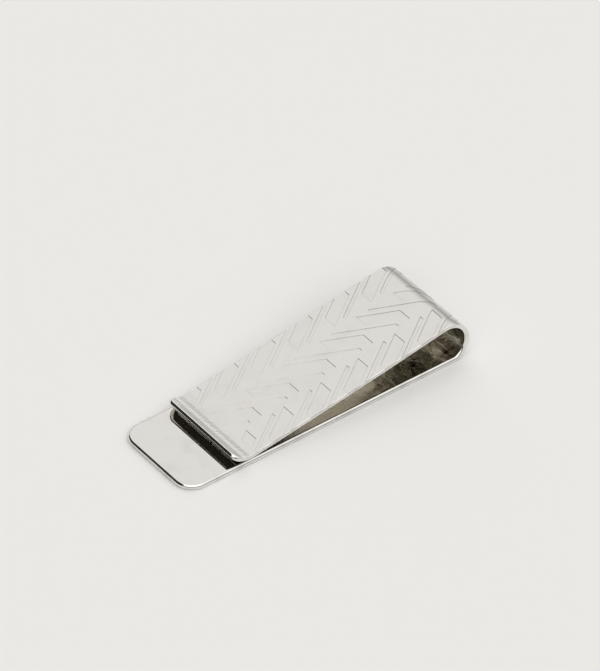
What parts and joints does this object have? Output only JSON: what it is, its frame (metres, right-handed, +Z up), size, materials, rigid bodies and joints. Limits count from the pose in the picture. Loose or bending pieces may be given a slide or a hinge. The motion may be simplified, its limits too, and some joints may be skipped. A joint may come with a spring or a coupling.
{
  "type": "money clip",
  "caption": "Flat spring clip for folded banknotes: a steel strip bent back over itself, with a sprung arm, a rounded heel and an upturned lip.",
  "frame": {"origin": "centre of the clip's bounding box, on the ground under the flat base leg", "axes": "+X along the strip towards the closed loop, so the lip and the open end face -X; +Y across the strip's width; +Z up, away from the base leg"},
  "size_m": [0.061, 0.02, 0.0089],
  "materials": {
    "polished_steel": "mirror-polished stainless steel with faint smudges",
    "engraved_steel": "fine satin stainless steel with shallow engraved herringbone bars"
  },
  "bodies": {
    "back_leg": {"base_leg": "polished_steel", "rear_bend": "polished_steel", "rear_wall": "polished_steel"},
    "spring_arm": {"top_bend": "engraved_steel", "arm": "engraved_steel", "heel": "polished_steel", "lip": "polished_steel"}
  },
  "joints": [
    {"name": "spring_flex", "type": "hinge", "parent": "back_leg", "child": "spring_arm", "pos_m": [0.03053, 0, 0.00421], "axis": [0, 1, 0], "range_deg": [0, 8], "stiffness_Nm_per_rad": 11.6, "springref_deg": -0.7}
  ]
}
